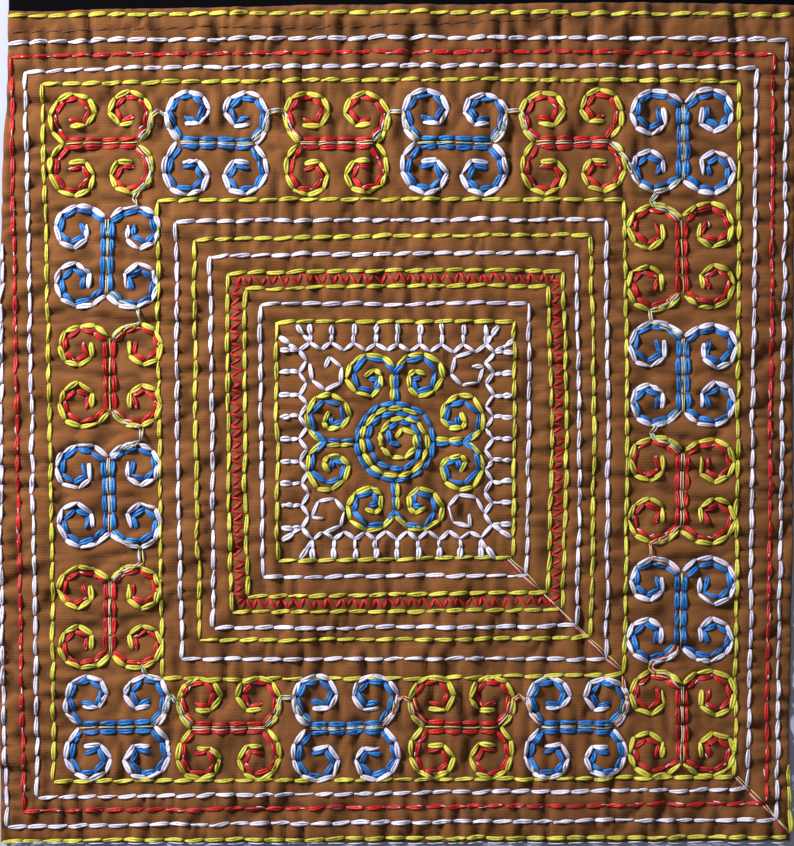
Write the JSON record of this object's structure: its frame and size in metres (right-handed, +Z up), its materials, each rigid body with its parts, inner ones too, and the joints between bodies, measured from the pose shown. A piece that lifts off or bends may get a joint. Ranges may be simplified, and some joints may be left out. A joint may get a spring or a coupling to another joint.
{
  "type": "embroidered cloth",
  "caption": "Square brown cotton panel with stitched borders and traditional scroll motifs, edged along the top by a plain black band.",
  "frame": {"origin": "middle of the underside of the box around the panel and its band, on the surface it lies on", "axes": "+X to the right and +Y towards the black band as the cloth is looked at, +Z up out of its face"},
  "size_m": [0.1995, 0.222, 0.0027],
  "materials": {
    "brown_cotton": "plain-woven brown cotton, matt, lightly puckered by the stitching",
    "black_cotton": "plain black cotton, matt",
    "yellow_thread": "yellow-green embroidery thread with a soft sheen",
    "white_thread": "white embroidery thread with a soft sheen",
    "red_thread": "red embroidery thread with a soft sheen",
    "blue_thread": "blue embroidery thread with a soft sheen"
  },
  "bodies": {
    "root": {"panel": "brown_cotton", "top_band": "black_cotton"}
  },
  "joints": []
}
